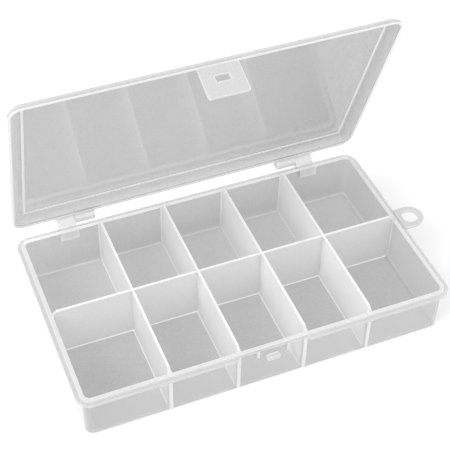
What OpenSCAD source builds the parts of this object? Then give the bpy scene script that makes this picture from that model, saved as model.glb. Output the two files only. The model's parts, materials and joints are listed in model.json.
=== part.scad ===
// Parts sorting tray: a translucent moulded box with fixed compartments, a lid
// on two pin hinges, a snap latch and a hanging eye. Millimetres, +Z up. The
// origin is at the middle of the underside, and the lid is drawn standing open.

/* [Tray] */
// Length over the flange
tray_length = 200; // [190:1:260]
// Depth over the flange
tray_depth = 117.8; // [90:0.1:160]
// Height of the lip above the underside
lip_height = 28.5; // [24:0.5:45]
// Thickness of the walls
wall = 1.4; // [1:0.1:1.8]
// Thickness of the floor
floor_thickness = 1.2; // [0.8:0.1:2.5]
// Radius inside the upright corners
inner_radius = 3; // [2:0.1:6]
// Radius inside along the floor
floor_radius = 1.2; // [0.6:0.1:2]

/* [Rim] */
// Width of the lip's top
lip_width = 2; // [1.8:0.1:2.4]
// Height of the lip above the flange
lip_step = 0.7; // [0.4:0.1:1.5]
// Reach of the flange from the inside of the wall
flange_reach = 4.3; // [4:0.1:6]
// Thickness of the flange
flange_thickness = 1.4; // [0.8:0.1:2.5]
// Radius of the flange's ends beside the latch
flange_end_radius = 1.5; // [0.5:0.1:1.6]

/* [Dividers] */
// Thickness of the dividers
divider_thickness = 1.3; // [0.8:0.1:2]
// Height of the dividers above the lip
divider_rise = 3.5; // [2:0.1:6]
// Distance between neighbouring cross dividers
column_pitch = 35.8; // [25:0.1:42]
// Radius of the top corners beside the walls
divider_corner = 2.8; // [1:0.1:4]
// Radius of the fillets where the dividers run into the walls and the floor
divider_fillet = 0.6; // [0.3:0.1:1.2]

/* [Lid] */
// Angle that the lid stands open
lid_open = 70.5; // [0:0.5:180]
// Thickness of the lid's panel
lid_panel = 1.2; // [0.8:0.1:2]
// Thickness of the lid's skirt
lid_skirt = 1.3; // [0.9:0.1:1.6]
// Height of the skirt below the rounded shoulder
skirt_height = 1.75; // [1:0.05:2.5]
// How far the lid stays inside the flange's edge
lid_inset = 0.3; // [0:0.1:0.6]
// Width of the bead inside the lid
bead_width = 1.2; // [0.6:0.1:2]
// Height of the bead
bead_height = 0.3; // [0.2:0.05:1]

/* [Hinges] */
// Distance of the hinge axis behind the flange
hinge_setback = 4.9; // [4.6:0.1:8]
// Height of the hinge axis above the lip
hinge_lift = 0.5; // [0:0.1:1.5]
// Distance from the tray's end to the middle of each hinge
hinge_inset = 34.6; // [22:0.2:50]
// Length of the lid's knuckles along the axis
knuckle_length = 11; // [6:0.5:16]
// Radius of the knuckles round the axis
knuckle_radius = 3.1; // [2.6:0.1:3.8]
// Length of the brackets along the axis
bracket_length = 10; // [6:0.5:16]
// Radius of the brackets round the axis
bracket_radius = 2.4; // [2.2:0.1:3.8]
// Radius of the pins
pin_radius = 1.6; // [1:0.1:2]
// How far the brackets reach down the wall below the flange
bracket_drop = 4; // [2:0.5:14]
// How far the brackets narrow towards their feet
bracket_taper = 2; // [0:0.1:4]

/* [Latch] */
// Width of the tab
tab_width = 21; // [14:0.5:30]
// Length of the tab below the lid's skirt
tab_length = 17.6; // [13:0.1:20]
// Thickness of the tab
tab_thickness = 1.2; // [0.8:0.1:1.6]
// Radius of the tab's lower corners
tab_corner = 1; // [0.3:0.1:3]
// Width of the tab's window
window_width = 7.4; // [5:0.1:12]
// Height of the window
window_height = 3.6; // [3:0.1:5]
// Distance from the lid's skirt down to the window
window_drop = 5.9; // [3:0.1:7]
// Room in the flange on each side of the tab
notch_room = 8; // [2:0.5:12]
// How far the nub's front stays behind the tab's outer face
nub_recess = 0.5; // [0.2:0.1:0.7]
// Corner radius of the nub
nub_corner = 1.2; // [0.4:0.1:1.4]
// Distance of the two upright ribs from the middle
rib_offset = 8; // [6:0.1:9]
// Width of the ribs
rib_width = 1; // [0.6:0.1:2]
// Length of the ribs below the flange
rib_length = 5.5; // [3:0.5:12]

/* [Hanging eye] */
// Diameter of the hole
eye_hole = 8.6; // [4:0.1:10]
// Width of the ring round the hole
eye_ring = 3.3; // [2:0.1:5]
// Distance from the flange to the middle of the hole
eye_reach = 6.5; // [5.5:0.1:12]
// Thickness of the eye
eye_thickness = 1.4; // [1:0.1:3]

/* [Fits] */
// Gap between the closed lid and what it closes on
lid_gap = 0.2; // [0.1:0.05:0.5]
// Gap round the hinge pins
pin_gap = 0.05; // [0.02:0.01:0.1]
// Gap between neighbouring knuckles
knuckle_gap = 0.3; // [0.1:0.05:0.6]
// How far the pins stop short of the knuckles' inner ends
pin_short = 0.5; // [0:0.1:2]
// Gap at the tab's living hinge
tab_gap = 0.2; // [0.1:0.05:0.5]
// Gap between the nub and the window's edges
nub_gap = 0.3; // [0.2:0.05:0.8]
// Gap between the ribs and the closed tab
rib_gap = 0.2; // [0.1:0.05:0.5]
// Extra radius that keeps the dividers clear of the rounded floor edge
seat_gap = 0.1; // [0.05:0.05:0.3]

/* [Hidden] */
$fn = 96;
margin = 1;
seam = 0.05;
milky = [0.87, 0.89, 0.90, 0.7];
milky_edge = [0.93, 0.94, 0.95, 0.85];

half_x = tray_length / 2;
half_y = tray_depth / 2;
in_x = half_x - flange_reach;
in_y = half_y - flange_reach;
corner_x = in_x - inner_radius;
corner_y = in_y - inner_radius;
outer_radius = inner_radius + wall;
foot_radius = floor_radius + wall;
foot_start = inner_radius - floor_radius;
rim_radius = inner_radius + flange_reach;
flange_top = lip_height - lip_step;
flange_bottom = flange_top - flange_thickness;
divider_top = lip_height + divider_rise;
divider_foot = divider_thickness + 2 * divider_fillet;

lid_bottom = flange_top + lid_gap;
lid_inside = divider_top + lid_gap + bead_height;
lid_top = lid_inside + lid_panel;
lid_crease = lid_bottom + skirt_height;
lid_radius = rim_radius - lid_inset;
lid_back = half_y - lid_inset;
shoulder_rise = lid_top - lid_crease;
shoulder_radius = (pow(lid_radius, 2) + pow(shoulder_rise, 2)) / (2 * shoulder_rise);

axis = [half_y + hinge_setback, lip_height + hinge_lift];
hinge_middle = half_x - hinge_inset;
bore_radius = pin_radius + pin_gap;
bracket_foot = flange_bottom - bracket_drop;

tab_outer = -lid_back;
tab_inner = tab_outer + tab_thickness;
tab_bottom = lid_bottom - tab_length;
window_top = lid_bottom - window_drop;
window_bottom = window_top - window_height;
notch_width = tab_width + 2 * notch_room;
wall_front = -in_y - wall;
nub_front = tab_outer + nub_recess;
nub_bottom = window_bottom + nub_gap;
nub_height = window_height - 2 * nub_gap;
nub_width = window_width - 2 * nub_gap;
eye_radius = eye_hole / 2 + eye_ring;

// Place of a cross divider along the length, counted 1 to 4 from the left
function divider_x(number) = (number - 2.5) * column_pitch;

// Point just inside a round of the given radius about the hinge axis, where the line from a point
// touches it; side 1 or -1 picks which
function touch(point, radius, side) =
    let (gap = point - axis,
         reach = radius - seam,
         turn = atan2(gap[1], gap[0]) + side * acos(reach / norm(gap)))
    axis + reach * [cos(turn), sin(turn)];

// What is cut off a corner at the origin to round it, for a shape in +X +Y
module corner_waste(radius) {
    difference() {
        translate([-margin, -margin]) square(radius + margin);
        translate([radius, radius]) circle(radius);
    }
}

// An outline drawn in (outwards, up), carried round the four sides and corners
module round_rim() {
    for (quarter = [0:3]) {
        across = quarter % 2 == 0;
        rotate(90 * quarter) {
            translate([across ? corner_x : corner_y, across ? corner_y : corner_x, 0])
                rotate_extrude(angle = 90) children();
            translate([across ? corner_x : corner_y, 0, 0]) rotate([90, 0, 0])
                linear_extrude(height = 2 * (across ? corner_y : corner_x), center = true) children();
        }
    }
}

// The flat slab that fills the middle of such a rim
module middle_slab(bottom, thickness) {
    translate([-corner_x, -corner_y, bottom]) cube([2 * corner_x, 2 * corner_y, thickness]);
}

// An outline drawn in (y, z), extruded along X about the middle
module along_x(length) {
    rotate([90, 0, 90]) linear_extrude(height = length, center = true) children();
}

// An outline drawn in (x, z), extruded towards +Y from the given place
module along_y(from, length) {
    translate([0, from + length, 0]) rotate([90, 0, 0]) linear_extrude(height = length) children();
}

// A closed lid piece, turned about the hinge axis to where the lid stands
module opened() {
    translate([0, axis[0], axis[1]]) rotate([-lid_open, 0, 0])
        translate([0, -axis[0], -axis[1]]) children();
}

// Section of the tray's wall: rounded foot, wall, flange and lip
module wall_section() {
    difference() {
        union() {
            square([foot_start, foot_radius]);
            translate([foot_start, 0]) intersection() {
                translate([0, foot_radius]) circle(foot_radius);
                square(foot_radius);
            }
            translate([0, foot_radius]) square([outer_radius, flange_top - foot_radius]);
            translate([0, flange_bottom]) square([rim_radius, flange_thickness]);
            translate([0, flange_bottom]) square([inner_radius + lip_width, lip_height - flange_bottom]);
        }
        translate([foot_start, floor_thickness + floor_radius]) circle(floor_radius);
        translate([-margin, floor_thickness]) square([foot_start + margin, lip_height]);
        translate([-margin, floor_thickness + floor_radius])
            square([inner_radius + margin, lip_height]);
    }
}

// The gap in the front flange that the tab comes down through, with rounded ends
module flange_notch() {
    width = notch_width + 2 * flange_end_radius;
    depth = flange_reach - lip_width;
    translate([0, 0, flange_bottom - margin]) linear_extrude(height = flange_thickness + 2 * margin)
        difference() {
            translate([-width / 2, -half_y - margin]) square([width, depth + margin]);
            for (side = [-1, 1]) translate([side * width / 2, -half_y + flange_end_radius]) {
                circle(flange_end_radius);
                translate([-flange_end_radius, 0]) square([2 * flange_end_radius, depth]);
            }
        }
}

module tray_shell() {
    color(milky) difference() {
        union() {
            round_rim() wall_section();
            middle_slab(0, floor_thickness);
        }
        flange_notch();
    }
}

// A web that widens through two fillets to its foot on the X axis
module filleted_web(height) {
    translate([-divider_thickness / 2, 0]) square([divider_thickness, height]);
    difference() {
        translate([-divider_foot / 2, 0]) square([divider_foot, divider_fillet]);
        for (side = [-1, 1]) translate([side * divider_foot / 2, divider_fillet]) circle(divider_fillet);
    }
}

// Side view of a divider from one place to the wall; a bare start is cut clear of another's root
module divider_side(from, to, bare) {
    difference() {
        translate([from, floor_thickness]) square([to - from, divider_top - floor_thickness]);
        translate([to, divider_top]) rotate(180) corner_waste(divider_corner);
        translate([to, floor_thickness]) mirror([1, 0]) corner_waste(floor_radius + seat_gap);
        if (bare > 0) translate([from, floor_thickness]) corner_waste(bare + seat_gap);
    }
}

// A divider from one place to the wall, along +X, with fillets down the wall and along the floor
module divider_run(from, to, bare) {
    root_from = from + bare;
    root_to = to - floor_radius;
    intersection() {
        along_y(-divider_foot / 2, divider_foot) divider_side(from, to, bare);
        union() {
            translate([0, 0, floor_thickness]) linear_extrude(height = divider_top)
                translate([to, 0]) rotate(90) filleted_web(to - from);
            translate([(root_from + root_to) / 2, 0, floor_thickness])
                along_x(root_to - root_from) filleted_web(divider_top);
        }
    }
}

module long_divider() {
    color(milky) for (side = [0, 1]) mirror([side, 0, 0]) divider_run(0, in_x, 0);
}

// A cross divider along +X, from the long divider to the wall
module cross_divider() {
    color(milky) divider_run(divider_thickness / 2, in_y, divider_fillet);
}

module rear_divider(number) {
    translate([divider_x(number), 0, 0]) rotate(90) cross_divider();
}

module front_divider(number) {
    translate([divider_x(number), 0, 0]) rotate(-90) cross_divider();
}

// The catch: a pad with rounded corners and a sloping top
module latch_nub() {
    slope = (wall_front - nub_front) / 2;
    color(milky_edge) intersection() {
        along_x(window_width) polygon([
            [wall_front, nub_bottom],
            [nub_front, nub_bottom],
            [nub_front, nub_bottom + nub_height - slope],
            [wall_front, nub_bottom + nub_height]]);
        along_y(tab_outer, flange_reach) difference() {
            translate([-nub_width / 2, nub_bottom]) square([nub_width, nub_height]);
            for (side = [0, 1]) mirror([side, 0]) {
                translate([-nub_width / 2, nub_bottom]) corner_waste(nub_corner);
                translate([-nub_width / 2, nub_bottom + nub_height]) mirror([0, 1]) corner_waste(nub_corner);
            }
        }
    }
}

// An upright rib with a sloping foot that keeps the tab off the wall
module latch_rib(side) {
    front = tab_inner + rib_gap;
    foot = flange_bottom - rib_length;
    color(milky_edge) translate([side * rib_offset, 0, 0])
        along_x(rib_width) polygon([
            [wall_front, foot],
            [front, foot + wall_front - front],
            [front, flange_bottom],
            [wall_front, flange_bottom]]);
}

module hanging_eye() {
    color(milky_edge) translate([half_x, 0, flange_top - eye_thickness])
        linear_extrude(height = eye_thickness) difference() {
            union() {
                intersection() {
                    translate([eye_reach, 0]) circle(eye_radius);
                    translate([0, -eye_radius]) square([eye_reach + eye_radius, 2 * eye_radius]);
                }
                translate([0, -eye_radius]) square([eye_reach, 2 * eye_radius]);
            }
            translate([eye_reach, 0]) circle(d = eye_hole);
        }
}

// A gusseted ear on the rear wall, drawn for the right-hand hinge
module hinge_bracket() {
    foot = [in_y + wall, bracket_foot];
    neck = [half_y, flange_top];
    inner_end = hinge_middle + knuckle_gap / 2;
    outer_end = inner_end + bracket_length;
    color(milky_edge) intersection() {
        translate([inner_end + bracket_length / 2, 0, 0]) {
            along_x(bracket_length) translate(axis) circle(bracket_radius);
            along_x(bracket_length)
                polygon([foot, [foot[0], flange_bottom], [half_y, flange_bottom], neck,
                         touch(neck, bracket_radius, -1), axis, touch(foot, bracket_radius, 1)]);
        }
        along_y(in_y, hinge_setback + 2 * flange_reach) polygon([
            [inner_end, bracket_foot],
            [outer_end - bracket_taper, bracket_foot],
            [outer_end, flange_bottom],
            [outer_end, lid_top],
            [inner_end, lid_top]]);
    }
}

// A stub pin with a tapered tip, drawn for the right-hand hinge
module hinge_pin() {
    root = hinge_middle + knuckle_gap / 2;
    length = knuckle_length + knuckle_gap - pin_short;
    tip = pin_radius / 2;
    color(milky_edge) translate([root, axis[0], axis[1]]) rotate([0, -90, 0]) {
        cylinder(r = pin_radius, h = length - tip);
        translate([0, 0, length - tip]) cylinder(r1 = pin_radius, r2 = pin_radius - tip / 2, h = tip);
    }
}

module hinge_bracket_left() { mirror([1, 0, 0]) hinge_bracket(); }
module hinge_bracket_right() { hinge_bracket(); }
module hinge_pin_left() { mirror([1, 0, 0]) hinge_pin(); }
module hinge_pin_right() { hinge_pin(); }

// Section of the lid's edge: panel, rounded shoulder and skirt
module lid_section() {
    middle = lid_top - shoulder_radius;
    difference() {
        intersection() {
            translate([0, middle]) circle(shoulder_radius);
            translate([0, lid_bottom]) square([lid_radius, lid_top - lid_bottom]);
        }
        intersection() {
            translate([0, middle]) circle(shoulder_radius - lid_panel);
            translate([-margin, lid_bottom - margin])
                square([lid_radius - lid_skirt + margin, lid_top - lid_bottom]);
        }
    }
}

module lid_cover() {
    color(milky) opened() {
        round_rim() lid_section();
        middle_slab(lid_inside, lid_panel);
    }
}

module lid_bead() {
    size = 2 * [corner_x, corner_y];
    band = 2 * [bead_width, bead_width];
    color(milky_edge) opened() translate([0, 0, lid_inside - bead_height])
        linear_extrude(height = bead_height) difference() {
            square(size, center = true);
            square(size - band, center = true);
        }
}

// A bored arm on the lid's rear skirt, drawn for the right-hand hinge
module lid_knuckle() {
    top = [lid_back, lid_crease];
    color(milky_edge) opened()
        translate([hinge_middle - (knuckle_gap + knuckle_length) / 2, 0, 0])
            difference() {
                union() {
                    along_x(knuckle_length) translate(axis) circle(knuckle_radius);
                    along_x(knuckle_length)
                        polygon([[lid_back, lid_bottom], top, touch(top, knuckle_radius, -1), axis,
                                 [axis[0], lid_bottom]]);
                }
                along_x(knuckle_length + 2 * margin) translate(axis) circle(bore_radius);
            }
}

module lid_knuckle_left() { mirror([1, 0, 0]) lid_knuckle(); }
module lid_knuckle_right() { lid_knuckle(); }

// The flexing tab with the window that snaps over the nub
module latch_tab() {
    color(milky_edge) opened() along_y(tab_outer, tab_thickness) difference() {
        translate([-tab_width / 2, tab_bottom]) square([tab_width, tab_length - tab_gap]);
        translate([-window_width / 2, window_bottom]) square([window_width, window_height]);
        for (side = [0, 1]) mirror([side, 0])
            translate([-tab_width / 2, tab_bottom]) corner_waste(tab_corner);
    }
}

tray_shell();
long_divider();
rear_divider(1);  // rear_divider_1
rear_divider(2);  // rear_divider_2
rear_divider(3);  // rear_divider_3
rear_divider(4);  // rear_divider_4
front_divider(1);  // front_divider_1
front_divider(2);  // front_divider_2
front_divider(3);  // front_divider_3
front_divider(4);  // front_divider_4
latch_nub();
latch_rib(-1);  // latch_rib_left
latch_rib(1);  // latch_rib_right
hanging_eye();
hinge_bracket_left();
hinge_bracket_right();
hinge_pin_left();
hinge_pin_right();
lid_cover();
lid_bead();
lid_knuckle_left();
lid_knuckle_right();
latch_tab();
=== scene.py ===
import functools
import json
import math
import operator

import bpy
from mathutils import Euler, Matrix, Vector


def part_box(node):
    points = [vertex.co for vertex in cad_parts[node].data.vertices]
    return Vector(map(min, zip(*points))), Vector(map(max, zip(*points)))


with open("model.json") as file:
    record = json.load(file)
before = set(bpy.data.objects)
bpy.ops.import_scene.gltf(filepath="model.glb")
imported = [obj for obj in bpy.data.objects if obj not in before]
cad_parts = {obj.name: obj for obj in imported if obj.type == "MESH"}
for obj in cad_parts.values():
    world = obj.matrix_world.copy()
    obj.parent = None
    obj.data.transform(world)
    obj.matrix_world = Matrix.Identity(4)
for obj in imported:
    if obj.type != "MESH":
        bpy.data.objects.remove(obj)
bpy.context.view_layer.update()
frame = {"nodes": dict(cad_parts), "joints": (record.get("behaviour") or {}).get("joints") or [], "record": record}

# The photograph's viewpoint, in metres and degrees, with the lens and the sensor in millimetres
CAMERA_AIM = Vector((0.0084, 0.0279, 0.0300))
CAMERA_DISTANCE = 0.6236
CAMERA_AZIMUTH = -23.10
CAMERA_ELEVATION = 44.84
CAMERA_ROLL = 1.42
CAMERA_LENS = 92.5
SENSOR_WIDTH = 36.0

# The table and the light around the object
TABLE_SIZE = 6.0
TABLE_COLOUR = (0.74, 0.74, 0.74, 1.0)
TABLE_GLOW = 0.30
WHITE = (1.0, 1.0, 1.0, 1.0)
SKY_FILL = 0.76
SEEN_RAYS = ("Is Camera Ray", "Is Glossy Ray", "Is Transmission Ray")
LAMP_AIM = Vector((0.0, 0.0, 0.03))
LAMP_SIZE = 4.0
# Each lamp's place in metres and its power in watts
LAMPS = {
    "key_light": (Vector((-4.40, -0.90, 3.60)), 215.0),
    "front_light": (Vector((0.80, -5.20, 2.20)), 84.0),
}

# The plastic: cover is the share of the light that one face stops, shade is how white that light
# comes out, and through is the share of it that goes on to the far side
# Painted light: the rear row's floor is lighter than the front row's, as if more light fell there
FLOOR_COVER, FLOOR_SHADE, REAR_FLOOR_PAINTED_LIGHT_SHADE = 0.46, 0.50, 0.64
WALL_COVER, WALL_SHADE = 0.56, 0.58
FRONT_COVER, FRONT_SHADE = 0.15, 0.72
RIM_COVER, FAR_RIM_COVER, RIM_SHADE, LIP_SHADE = 0.72, 0.42, 0.69, 0.76
# Painted shade: the long divider's faces are darker, to offset the front lamp that lights them
DIVIDER_COVER, DIVIDER_SHADE, LONG_PAINTED_SHADE = 0.60, 0.97, 0.90
# Painted light: the rear row of dividers is milkier and passes less through, so that it reads lighter where the
# lid shades it
REAR_COVER = 0.66
# The white at a divider's root and at the tray's joints is thicker plastic; at the root it is also a painted
# highlight
ROOT_COVER, ROOT_SHADE = 0.75, 0.86
LID_COVER, LID_SHADE, LID_RIGHT_PAINTED_SHADE, LID_FRONT_SHADE = 0.55, 0.54, 0.40, 0.71
DETAIL_COVER, DETAIL_SHADE = 0.78, 0.74
# Painted light: the hinges are whiter than the other details, against the shade they sit in under the lid
HINGE_COVER, HINGE_PAINTED_LIGHT_SHADE = 0.85, 0.88
# The white of thick plastic, which along edges and divider tops also stands for a painted highlight
DEEP_COVER, DEEP_AND_HIGHLIGHT_SHADE = 0.92, 0.93
PANEL_THROUGH, REAR_THROUGH, DEEP_THROUGH = 0.50, 0.20, 0.10
RIM_THROUGH, DETAIL_THROUGH = 0.30, 0.30
# How much of the root's white the crease round the floor has as a painted highlight, and how much at the
# right-hand end, where the key lamp already lights it
CREASE_HIGHLIGHT_SHARE, RIGHT_CREASE_HIGHLIGHT_SHARE = 0.50, 0.15
# How much of the deep white, partly a painted highlight, the edges of the tray and of the dividers have
TRAY_EDGE_HIGHLIGHT_SHARE, DIVIDER_EDGE_HIGHLIGHT_SHARE = 0.60, 0.35

# The surface: reflection seen head-on and roughness, on satin faces and on smooth ones, the value of
# smooth on a satin face, and how steeply a slanting view adds gloss
SATIN_GLOSS, SMOOTH_GLOSS = 0.04, 0.10
SATIN_ROUGHNESS, SMOOTH_ROUGHNESS = 0.40, 0.03
SATIN = 0.0
SLANT_POWER = 4
# Milky clouds and a fine grain, with sizes in metres
CLOUD_SIZE, CLOUD_DETAIL, CLOUD_SHARE = 0.030, 2.0, 0.04
GRAIN_SIZE, GRAIN_DETAIL, GRAIN_SHARE = 0.0009, 3.0, 0.20
BUMP_STRENGTH, BUMP_HEIGHT = 0.10, 0.00003
# An edge is where the normal turns within this radius, from its first trace to its full strength
EDGE_RADIUS, EDGE_SAMPLES = 0.0008, 6
EDGE_FIRST, EDGE_FULL = 0.02, 0.10

# Widths in metres over which one finish fades into the next
HAIR_FADE = 0.0001
FINE_FADE = 0.0002
SOFT_FADE = 0.0003
BROAD_FADE = 0.0004
WIDE_FADE = 0.0010
# A face within this distance of the piece that it lies on is left clear
CONTACT, CONTACT_FADE = 0.00002, 0.00004

# Places in the tray that the finishes follow
TRAY_LOW, TRAY_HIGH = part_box("tray_shell")
RIM_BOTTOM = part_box("hanging_eye")[0].z
DIVIDER_LOW, DIVIDER_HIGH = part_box("long_divider")
LONG_HALF = DIVIDER_HIGH.y
CROSS_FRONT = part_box("front_divider_1")[0].y
CROSS_BOXES = [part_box(f"front_divider_{number}") for number in (1, 2, 3, 4)]
CROSS_MIDDLES = [(low.x + high.x) / 2 for low, high in CROSS_BOXES]
CROSS_JOINT_HALF = 0.0009
CORNER_RADIUS = 0.0030
CORNER_X = DIVIDER_HIGH.x - CORNER_RADIUS
CORNER_Y = -CROSS_FRONT - CORNER_RADIUS
BRACKETS = [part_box("hinge_bracket_left"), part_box("hinge_bracket_right")]
BRACKET_MIDDLES = [(low.x + high.x) / 2 for low, high in BRACKETS]
BRACKET_HALF = (BRACKETS[0][1].x - BRACKETS[0][0].x) / 2
BRACKET_FOOT = BRACKETS[0][0].z
EYE_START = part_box("hanging_eye")[0].x
# Heights above the floor: the crease, the start of the wall and the top of a divider's root
CREASE_HEIGHT, CREASE_HALF = 0.0004, 0.0002
WALL_START, WALL_FADE = 0.0005, 0.0007
ROOT_TOP = 0.0004

# Places in the lid that the finishes follow, with heights and depths as in the closed lid
TAB_LOW, TAB_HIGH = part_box("latch_tab")
TAB_MIDDLE = (TAB_LOW.x + TAB_HIGH.x) / 2
TAB_HALF = (TAB_HIGH.x - TAB_LOW.x) / 2
LID_JOINT = next(joint for joint in frame["joints"] if joint["name"] == "lid_hinge")
LID_AXIS = Vector(LID_JOINT["pos_m"])
LID_OPEN = math.radians(-LID_JOINT["range_deg"][0])
LID_RIM, BEAD_TOP, LID_INSIDE = 0.0280, 0.0322, 0.0325
LID_EDGE = 0.0550


class Value:
    """A number on a shader socket, for use in Python expressions."""

    def __init__(self, finish, socket):
        self.finish = finish
        self.socket = socket

    def math(self, operation, first, second):
        return self.finish.node("ShaderNodeMath", {"operation": operation}, {0: first, 1: second})

    def __add__(self, other):
        return self.math("ADD", self, other)

    def __radd__(self, other):
        return self.math("ADD", other, self)

    def __sub__(self, other):
        return self.math("SUBTRACT", self, other)

    def __rsub__(self, other):
        return self.math("SUBTRACT", other, self)

    def __mul__(self, other):
        return self.math("MULTIPLY", self, other)

    def __rmul__(self, other):
        return self.math("MULTIPLY", other, self)

    def __pow__(self, other):
        return self.math("POWER", self, other)

    def __abs__(self):
        return self.math("ABSOLUTE", self, 0.0)

    def __or__(self, other):
        return self.math("MAXIMUM", self, other)


class Finish:
    """The node tree of a material or of the world."""

    def __init__(self, owner):
        owner.use_nodes = True
        self.owner = owner
        self.tree = owner.node_tree
        self.tree.nodes.clear()

    def node(self, kind, settings=None, sockets=None, output=0):
        made = self.tree.nodes.new(kind)
        for name, value in (settings or {}).items():
            setattr(made, name, value)
        for name, value in (sockets or {}).items():
            if isinstance(value, Value):
                self.tree.links.new(value.socket, made.inputs[name])
            else:
                made.inputs[name].default_value = value
        return Value(self, made.outputs[output]) if made.outputs else None

    def place(self):
        """The point on the piece itself in the shared frame at rest, and its three coordinates."""
        point = self.node("ShaderNodeTexCoord", output="Object")
        split = {"Vector": point}
        return point, [self.node("ShaderNodeSeparateXYZ", sockets=split, output=axis) for axis in "XYZ"]

    def step(self, value, low, high):
        """0 below low, 1 above high and a smooth rise between them."""
        return self.node("ShaderNodeMapRange", {"interpolation_type": "SMOOTHSTEP"},
                         {"Value": value, "From Min": low, "From Max": high})

    def beyond(self, value, level, fade):
        """0 up to the level, and 1 from one fade beyond it."""
        return self.step(value, level, level + fade)

    def reaching(self, value, level, fade):
        """1 from the level on, and 0 until one fade before it."""
        return self.step(value, level - fade, level)

    def top(self, value, level):
        """1 on a top face at the level, and 0 just below it."""
        return self.reaching(value, level - HAIR_FADE, HAIR_FADE)

    def near(self, value, middle, half):
        """1 within half of the middle, and 0 a little further away."""
        return 1 - self.beyond(abs(value - middle), half, SOFT_FADE)

    def near_any(self, value, middles, half):
        """1 within half of any of the middles, and 0 a little further away."""
        return functools.reduce(operator.or_, [self.near(value, middle, half) for middle in middles])

    def edges(self):
        """A value that is 1 along an edge and 0 away from it."""
        eased = self.node("ShaderNodeBevel", {"samples": EDGE_SAMPLES}, {"Radius": EDGE_RADIUS})
        flat = self.node("ShaderNodeNewGeometry", output="True Normal")
        both = {0: eased, 1: flat}
        turn = 1 - self.node("ShaderNodeVectorMath", {"operation": "DOT_PRODUCT"}, both, "Value")
        return self.step(turn, EDGE_FIRST, EDGE_FULL)

    def noise(self, point, size, detail):
        """Soft noise of about the given grain size in metres, from -0.5 to 0.5."""
        sockets = {"Vector": point, "Scale": 1 / size, "Detail": detail}
        return self.node("ShaderNodeTexNoise", {}, sockets) - 0.5

    def seen(self):
        """1 for what is seen, directly or in a reflection, and 0 for what lights the object."""
        rays = [self.node("ShaderNodeLightPath", output=kind) for kind in SEEN_RAYS]
        return functools.reduce(operator.or_, rays)


def blend(first, second, share):
    return first + (second - first) * share


def milky_plastic(name, look, edge_highlight_share=1.0):
    """Translucent moulded plastic, whiter along its edges, partly as thicker plastic and partly as a painted
    highlight. look(finish, places) gives its cover, shade, through and smooth, which is 0 on a satin face
    and 1 on a smooth one."""
    finish = Finish(bpy.data.materials.new(name))
    point, places = finish.place()
    cover, shade, through, smooth = look(finish, places)
    edge_white_and_highlight = finish.edges() * edge_highlight_share
    cloud = finish.noise(point, CLOUD_SIZE, CLOUD_DETAIL)
    grain = finish.noise(point, GRAIN_SIZE, GRAIN_DETAIL)
    # Edges whiten towards the deep white: partly thicker plastic, partly a painted highlight
    cover = blend(cover, DEEP_COVER, edge_white_and_highlight) + CLOUD_SHARE * cloud
    shade = blend(shade, DEEP_AND_HIGHLIGHT_SHADE, edge_white_and_highlight) + CLOUD_SHARE * cloud + GRAIN_SHARE * grain
    through = blend(through, DEEP_THROUGH, edge_white_and_highlight)
    surface = finish.node("ShaderNodeBump", {}, {
        "Strength": BUMP_STRENGTH, "Distance": BUMP_HEIGHT, "Height": grain})
    colour = finish.node("ShaderNodeCombineColor", {}, {"Red": shade, "Green": shade, "Blue": shade})
    front = finish.node("ShaderNodeBsdfDiffuse", {}, {"Color": colour, "Normal": surface})
    back = finish.node("ShaderNodeBsdfTranslucent", {}, {"Color": colour, "Normal": surface})
    milk = finish.node("ShaderNodeMixShader", {}, {"Fac": through, 1: front, 2: back})
    clear = finish.node("ShaderNodeBsdfTransparent")
    body = finish.node("ShaderNodeMixShader", {}, {"Fac": cover, 1: clear, 2: milk})
    slant = finish.node("ShaderNodeLayerWeight", output="Facing")
    gloss = blend(blend(SATIN_GLOSS, SMOOTH_GLOSS, smooth), 1.0, slant ** SLANT_POWER)
    mirror = finish.node("ShaderNodeBsdfGlossy", {}, {
        "Color": WHITE, "Roughness": blend(SATIN_ROUGHNESS, SMOOTH_ROUGHNESS, smooth)})
    plastic = finish.node("ShaderNodeMixShader", {}, {"Fac": gloss, 1: body, 2: mirror})
    finish.node("ShaderNodeOutputMaterial", {}, {"Surface": plastic})
    return finish.owner


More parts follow.
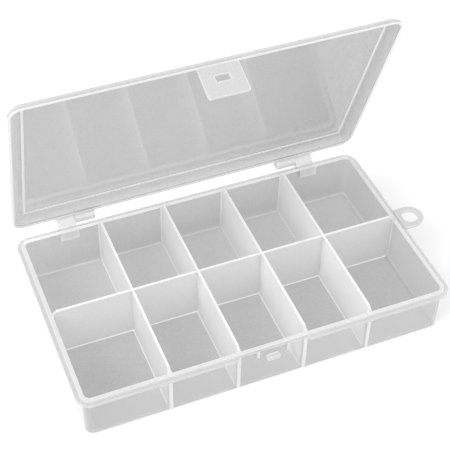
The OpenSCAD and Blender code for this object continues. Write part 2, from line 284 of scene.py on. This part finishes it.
def tray_look(finish, places):
    """Grey floor and walls, the rear row's floor a little lighter as painted light, a clearer front wall and a
    pale rim with a whiter lip; white where another piece runs into a wall, and a weaker painted highlight
    in the crease round the floor, weakest at the right-hand end."""
    x, y, z = places
    height = z - DIVIDER_LOW.z
    rear_row_painted_light = finish.step(y, -LONG_HALF, LONG_HALF)
    wall = finish.beyond(height, WALL_START, WALL_FADE)
    front = 1 - finish.beyond(y, CROSS_FRONT, FINE_FADE)
    behind = finish.reaching(y, -CROSS_FRONT, FINE_FADE)
    right = finish.reaching(x, DIVIDER_HIGH.x, FINE_FADE)
    reach = (((abs(x) - CORNER_X) | 0.0) ** 2 + ((abs(y) - CORNER_Y) | 0.0) ** 2) ** 0.5
    outside = finish.beyond(reach, CORNER_RADIUS + HAIR_FADE, FINE_FADE)
    rim = finish.reaching(z, RIM_BOTTOM + FINE_FADE, BROAD_FADE) * outside
    lip = finish.top(z, TRAY_HIGH.z)

    inside = 1 - finish.beyond(reach, CORNER_RADIUS, BROAD_FADE)
    right_end = finish.beyond(x, CORNER_X, WIDE_FADE)
    # A painted highlight along the crease round the floor, weaker at the right-hand end where the key lamp lights
    # it
    crease_highlight = finish.near(height, CREASE_HEIGHT, CREASE_HALF) * inside
    crease_highlight = crease_highlight * blend(CREASE_HIGHLIGHT_SHARE, RIGHT_CREASE_HIGHLIGHT_SHARE, right_end)
    ends = finish.near_any(x, CROSS_MIDDLES, CROSS_JOINT_HALF) * front * (1 - rim)
    feet = finish.near_any(x, BRACKET_MIDDLES, BRACKET_HALF) * behind
    feet = feet * finish.beyond(z, BRACKET_FOOT, SOFT_FADE)
    # Joints are whiter thick plastic; the crease among them is a painted highlight
    joint = ends | feet | crease_highlight

    cover = blend(blend(FLOOR_COVER, WALL_COVER, wall), FRONT_COVER, front)
    cover = blend(cover, blend(RIM_COVER, FAR_RIM_COVER, behind | right), rim)
    cover = blend(blend(cover, ROOT_COVER, joint), DEEP_COVER, lip)
    # Painted light: the floor is lighter in the rear row
    shade = blend(blend(FLOOR_SHADE, REAR_FLOOR_PAINTED_LIGHT_SHADE, rear_row_painted_light), WALL_SHADE, wall)
    shade = blend(blend(shade, FRONT_SHADE, front), RIM_SHADE, rim)
    shade = blend(blend(shade, ROOT_SHADE, joint), blend(LIP_SHADE, DEEP_AND_HIGHLIGHT_SHADE, behind), lip)
    through = blend(blend(PANEL_THROUGH, RIM_THROUGH, rim), DEEP_THROUGH, joint | lip)
    return cover, shade, through, SATIN


def divider_look(finish, places):
    """Pale webs that show a little of what is behind them, milkier behind the long divider so that the rear
    row reads lighter where the lid shades it, as painted light, and white along the top and the root,
    partly as a painted highlight, with more white at the long divider's root as painted light and painted
    shade on its faces; the face on the floor is left clear."""
    y, z = places[1:]
    height = z - DIVIDER_LOW.z
    # Painted light: the rear row is milkier so that it reads lighter under the lid's shade
    rear = finish.beyond(y, LONG_HALF, FINE_FADE)
    middle = finish.near(y, 0.0, LONG_HALF)
    # White along the top and the root: thicker plastic and a painted highlight; the long divider's root is whiter
    # still as painted light
    root = 1 - finish.beyond(height, ROOT_TOP, SOFT_FADE)
    deep_and_highlight = finish.top(z, DIVIDER_HIGH.z) | root * middle
    cover = blend(blend(DIVIDER_COVER, REAR_COVER, rear), ROOT_COVER, root)
    cover = blend(cover, DEEP_COVER, deep_and_highlight) * finish.beyond(height, CONTACT, CONTACT_FADE)
    # The long divider's faces carry painted shade
    shade = blend(blend(DIVIDER_SHADE, LONG_PAINTED_SHADE, middle), ROOT_SHADE, root)
    shade = blend(shade, DEEP_AND_HIGHLIGHT_SHADE, deep_and_highlight)
    through = blend(blend(PANEL_THROUGH, REAR_THROUGH, rear), DEEP_THROUGH, root | deep_and_highlight)
    return cover, shade, through, SATIN


def closed_place(places):
    """Where a point of the lid is when the lid is closed: its distance back and its height."""
    across, above = places[1] - LID_AXIS.y, places[2] - LID_AXIS.z
    sine, cosine = math.sin(LID_OPEN), math.cos(LID_OPEN)
    return LID_AXIS.y + cosine * across - sine * above, LID_AXIS.z + sine * across + cosine * above


def lid_look(finish, places):
    """A grey panel, smooth inside and a little darker towards the right, a painted shade that offsets the
    white table it reflects there, with a pale front edge and a white rim that fades at the hinges."""
    back, height = closed_place(places)
    rim = 1 - finish.beyond(height, LID_RIM + HAIR_FADE, SOFT_FADE)
    panel = finish.reaching(height, LID_INSIDE - FINE_FADE, BROAD_FADE)
    # Painted shade: the panel darkens towards the right, against the table's white reflection there
    right = finish.step(places[0], 0.0, TRAY_HIGH.x) * panel
    front = 1 - finish.beyond(back, -LID_EDGE, WIDE_FADE)
    rear = finish.reaching(back, LID_EDGE, WIDE_FADE)
    smooth = finish.near(height, LID_INSIDE, HAIR_FADE)
    cover = blend(blend(LID_COVER, RIM_COVER, front), DEEP_COVER, rim)
    shade = blend(blend(LID_SHADE, LID_RIGHT_PAINTED_SHADE, right), LID_FRONT_SHADE, front)
    shade = blend(shade, blend(DEEP_AND_HIGHLIGHT_SHADE, RIM_SHADE, rear), rim)
    return cover, shade, blend(PANEL_THROUGH, DEEP_THROUGH, rim), smooth


def detail_look(finish, places):
    """The tab, the catch and the eye are pale, the hinges whiter as painted light against the shade they sit
    in under the lid, and the bead white; the face of the bead on the lid is left clear."""
    x, y, z = places
    height = closed_place(places)[1]
    tab = finish.near(x, TAB_MIDDLE, TAB_HALF) * finish.reaching(z, TAB_LOW.z, WIDE_FADE)
    eye = finish.reaching(x, EYE_START, FINE_FADE)
    catch = 1 - finish.reaching(y, CROSS_FRONT, FINE_FADE)
    pale = tab | eye | catch
    bead = finish.top(height, BEAD_TOP) * (1 - tab)
    laid = finish.reaching(height, LID_INSIDE - CONTACT, CONTACT_FADE) * (1 - tab)
    cover = blend(blend(HINGE_COVER, DETAIL_COVER, pale), DEEP_COVER, bead) * (1 - laid)
    shade = blend(blend(HINGE_PAINTED_LIGHT_SHADE, DETAIL_SHADE, pale), DEEP_AND_HIGHLIGHT_SHADE, bead)
    return cover, shade, blend(DETAIL_THROUGH, DEEP_THROUGH, bead), SATIN


def white_table():
    """A pale table that reads as white and still takes the object's shadow."""
    finish = Finish(bpy.data.materials.new("white_table"))
    glow = finish.node("ShaderNodeEmission", {}, {"Strength": TABLE_GLOW * finish.seen()})
    table = finish.node("ShaderNodeBsdfDiffuse", {}, {"Color": TABLE_COLOUR})
    both = finish.node("ShaderNodeAddShader", {}, {0: table, 1: glow})
    finish.node("ShaderNodeOutputMaterial", {}, {"Surface": both})
    return finish.owner


def white_room():
    """White where it is seen, and a soft fill light everywhere else."""
    world = bpy.data.worlds.new("white_room")
    bpy.context.scene.world = world
    finish = Finish(world)
    light = finish.node("ShaderNodeBackground", {}, {
        "Color": WHITE, "Strength": blend(SKY_FILL, 1.0, finish.seen())})
    finish.node("ShaderNodeOutputWorld", {}, {"Surface": light})


def make_table():
    half = TABLE_SIZE / 2
    mesh = bpy.data.meshes.new("table")
    corners = [(-half, -half, 0), (half, -half, 0), (half, half, 0), (-half, half, 0)]
    mesh.from_pydata([Vector(corner) for corner in corners], [], [(0, 1, 2, 3)])
    mesh.materials.append(white_table())
    table = bpy.data.objects.new("table", mesh)
    bpy.context.scene.collection.objects.link(table)
    table.location.z = TRAY_LOW.z


def make_lamps():
    for name, (place, power) in LAMPS.items():
        light = bpy.data.lights.new(name, "AREA")
        light.size = LAMP_SIZE
        light.energy = power
        lamp = bpy.data.objects.new(name, light)
        lamp.location = place
        lamp.rotation_euler = (LAMP_AIM - place).to_track_quat("-Z", "Y").to_euler()
        bpy.context.scene.collection.objects.link(lamp)


def make_camera():
    azimuth, elevation = math.radians(CAMERA_AZIMUTH), math.radians(CAMERA_ELEVATION)
    away = Vector((math.sin(azimuth) * math.cos(elevation),
                   -math.cos(azimuth) * math.cos(elevation),
                   math.sin(elevation)))
    lens = bpy.data.cameras.new("photo_camera")
    lens.sensor_width = SENSOR_WIDTH
    lens.lens = CAMERA_LENS
    camera = bpy.data.objects.new("photo_camera", lens)
    camera.location = CAMERA_AIM + CAMERA_DISTANCE * away
    level = (-away).to_track_quat("-Z", "Y")
    roll = Euler((0, 0, math.radians(CAMERA_ROLL))).to_quaternion()
    camera.rotation_euler = (level @ roll).to_euler()
    bpy.context.scene.collection.objects.link(camera)
    bpy.context.scene.camera = camera


FINISHES = {
    "tray_plastic": milky_plastic("tray_plastic", tray_look, TRAY_EDGE_HIGHLIGHT_SHARE),
    "divider_plastic": milky_plastic("divider_plastic", divider_look, DIVIDER_EDGE_HIGHLIGHT_SHARE),
    "lid_plastic": milky_plastic("lid_plastic", lid_look),
    "moulded_details": milky_plastic("moulded_details", detail_look),
}

for part in frame["record"]["subparts"]:
    node = frame["nodes"][part["node"]]
    for slot in node.material_slots:
        slot.material = FINISHES[part["material_slot"]]

make_table()
make_lamps()
white_room()
make_camera()
bpy.context.scene.view_settings.view_transform = "Standard"
